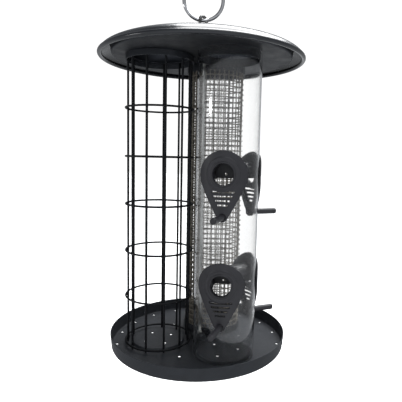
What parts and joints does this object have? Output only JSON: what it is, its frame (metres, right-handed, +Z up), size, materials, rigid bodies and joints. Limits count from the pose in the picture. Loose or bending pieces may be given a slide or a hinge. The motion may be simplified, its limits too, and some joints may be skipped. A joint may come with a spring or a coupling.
{
  "type": "hanging bird feeder",
  "caption": "Hanging bird feeder: clear seed tube with teardrop ports, mesh peanut tube and wire fat-ball cage between a round tray and a domed lid, with a ring on top.",
  "frame": {"origin": "centre of the tray's flat underside", "axes": "+Z up the central rod towards the hanging ring, -Y to the front, +X to the right seen from the front"},
  "size_m": [0.234, 0.234, 0.4244],
  "materials": {
    "coated_steel": "satin black-grey powder coat",
    "lid_steel": "semi-gloss black powder coat",
    "clear_plastic": "clear polished",
    "black_plastic": "moulded matt",
    "mesh_steel": "dull galvanised mesh",
    "zinc": "bright zinc plate",
    "chrome": "polished"
  },
  "bodies": {
    "feeder": {"tray": "coated_steel", "top_pan": "coated_steel", "mesh_band_lower": "coated_steel", "mesh_band_upper": "coated_steel", "cage_wire_01": "coated_steel", "cage_wire_02": "coated_steel", "cage_wire_03": "coated_steel", "cage_wire_04": "coated_steel", "cage_wire_05": "coated_steel", "cage_wire_06": "coated_steel", "cage_wire_07": "coated_steel", "cage_wire_08": "coated_steel", "cage_wire_09": "coated_steel", "cage_wire_10": "coated_steel", "cage_wire_11": "coated_steel", "cage_ring_1": "coated_steel", "cage_ring_2": "coated_steel", "cage_ring_3": "coated_steel", "cage_ring_4": "coated_steel", "cage_ring_5": "coated_steel", "cage_ring_6": "coated_steel", "seed_tube": "clear_plastic", "mesh_tube": "mesh_steel", "port_plate_front_lower": "black_plastic", "port_liner_front_lower": "black_plastic", "perch_front_lower": "black_plastic", "port_plate_side_lower": "black_plastic", "port_liner_side_lower": "black_plastic", "perch_side_lower": "black_plastic", "port_plate_front_upper": "black_plastic", "port_liner_front_upper": "black_plastic", "perch_front_upper": "black_plastic", "port_plate_side_upper": "black_plastic", "port_liner_side_upper": "black_plastic", "perch_side_upper": "black_plastic", "central_rod": "zinc", "rod_washer_base": "zinc", "rod_nut_base": "zinc", "rod_nut_tray": "zinc", "rod_nut_pan_under": "zinc", "rod_washer_pan": "zinc", "rod_nut_pan_top": "zinc"},
    "lid_assembly": {"lid": "lid_steel", "lid_washer": "zinc"},
    "eye": {"eye_nut": "zinc"},
    "ring": {"hanging_ring": "chrome"}
  },
  "joints": [
    {"name": "lid_lift", "type": "slide", "parent": "feeder", "child": "lid_assembly", "axis": [0, 0, 1], "range_m": [0, 0.12]},
    {"name": "eye_turn", "type": "hinge", "parent": "lid_assembly", "child": "eye", "pos_m": [0, 0, 0.36], "axis": [0, 0, 1], "continuous": true},
    {"name": "ring_swing", "type": "hinge", "parent": "eye", "child": "ring", "pos_m": [0, 0, 0.378], "axis": [1, 0, 0], "range_deg": [-110, 110]}
  ]
}
